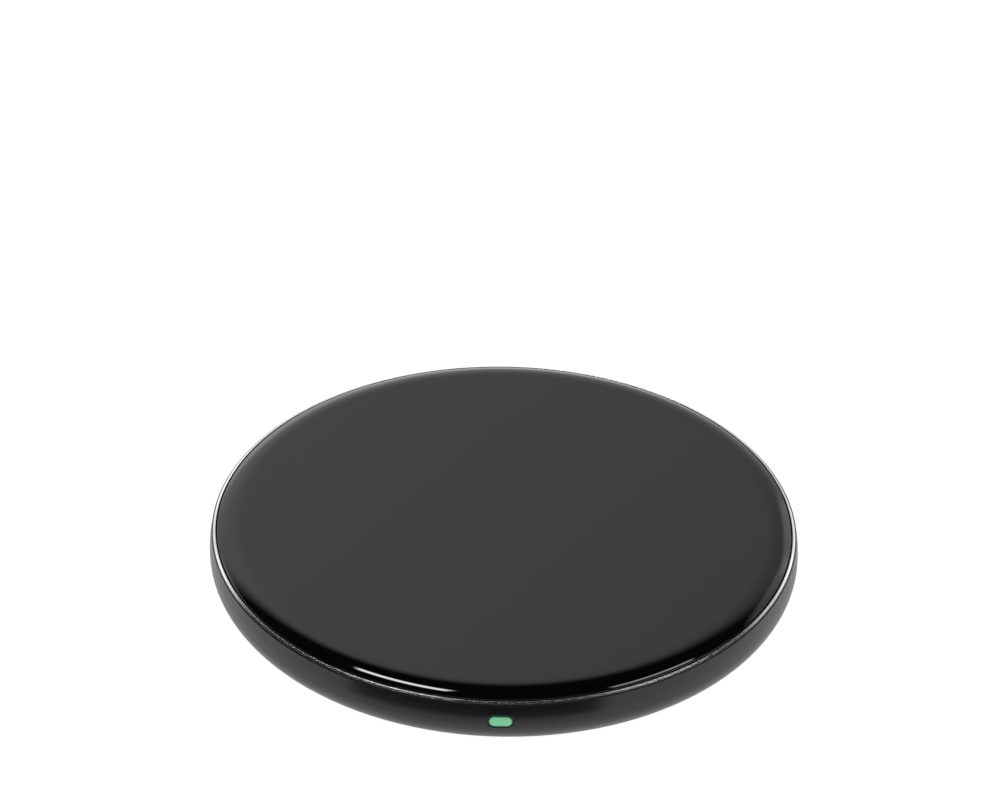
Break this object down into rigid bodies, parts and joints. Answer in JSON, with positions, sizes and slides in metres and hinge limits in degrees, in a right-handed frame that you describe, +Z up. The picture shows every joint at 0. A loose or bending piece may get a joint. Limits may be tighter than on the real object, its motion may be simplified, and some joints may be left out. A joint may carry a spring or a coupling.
{
  "type": "wireless charging pad",
  "caption": "Round glass-topped wireless charging pad with a barrel-shaped casing, a bright trim ring, a front status light, a rear USB-C socket and a rubber foot ring.",
  "frame": {"origin": "centre of the surface that the pad stands on, under the middle of the disc", "axes": "+Z up out of the charging surface, -Y towards the status light, +Y towards the USB-C socket"},
  "size_m": [0.1, 0.0999, 0.0105],
  "materials": {
    "casing": "moulded PC/ABS, satin black, very fine texture",
    "trim": "bright plated ring, fine turned lines",
    "glass": "tempered glass printed black on its back, polished, rounded edge",
    "light_window": "milky diffusing insert, lit green",
    "tape": "double-sided tape",
    "glass_tape": "black double-sided sheet",
    "deck": "moulded ABS, natural moulded finish",
    "copper_wire": "bundle of enamelled copper strands",
    "sleeve": "sleeved tails",
    "ferrite": "sintered ferrite, matt dark grey",
    "board": "glass-epoxy with green solder resist",
    "solder": "solder, bright and rounded",
    "steel": "nickel-plated steel",
    "gold_contact": "gold-plated contacts",
    "insulator": "moulded black liquid-crystal polymer",
    "package": "moulded epoxy chip package",
    "inductor": "pressed iron powder",
    "capacitor": "ceramic body, tinned ends",
    "led": "white package, clear lens",
    "clear": "clear acrylic",
    "foam": "black closed-cell foam",
    "bead": "epoxy-dipped bead",
    "silicone": "matt silicone rubber"
  },
  "bodies": {
    "root": {"casing_ring": "casing", "trim_ring": "trim", "led_window": "light_window", "top_glass": "glass", "glass_adhesive": "glass_tape", "top_deck": "deck", "transmitter_coil": "copper_wire", "coil_leads": "sleeve", "deck_tape": "tape", "coil_tape": "tape", "ferrite_plate": "ferrite", "board_tape": "tape", "thermistor": "bead", "thermistor_leads": "solder", "circuit_board": "board", "board_screws": "steel", "controller_chip": "package", "bridge_transistors": "package", "regulator_chip": "package", "power_inductor": "inductor", "resonant_capacitors": "capacitor", "bulk_capacitors": "capacitor", "chip_capacitors": "capacitor", "chip_resistors": "package", "crystal": "steel", "usb_shell": "steel", "usb_tongue": "insulator", "usb_contacts": "gold_contact", "solder_joints": "solder", "light_guide": "clear", "light_seal": "foam", "charge_leds": "led", "bottom_cover": "casing", "cover_screws": "steel", "foot_adhesive": "tape", "foot_ring": "silicone"}
  },
  "joints": []
}
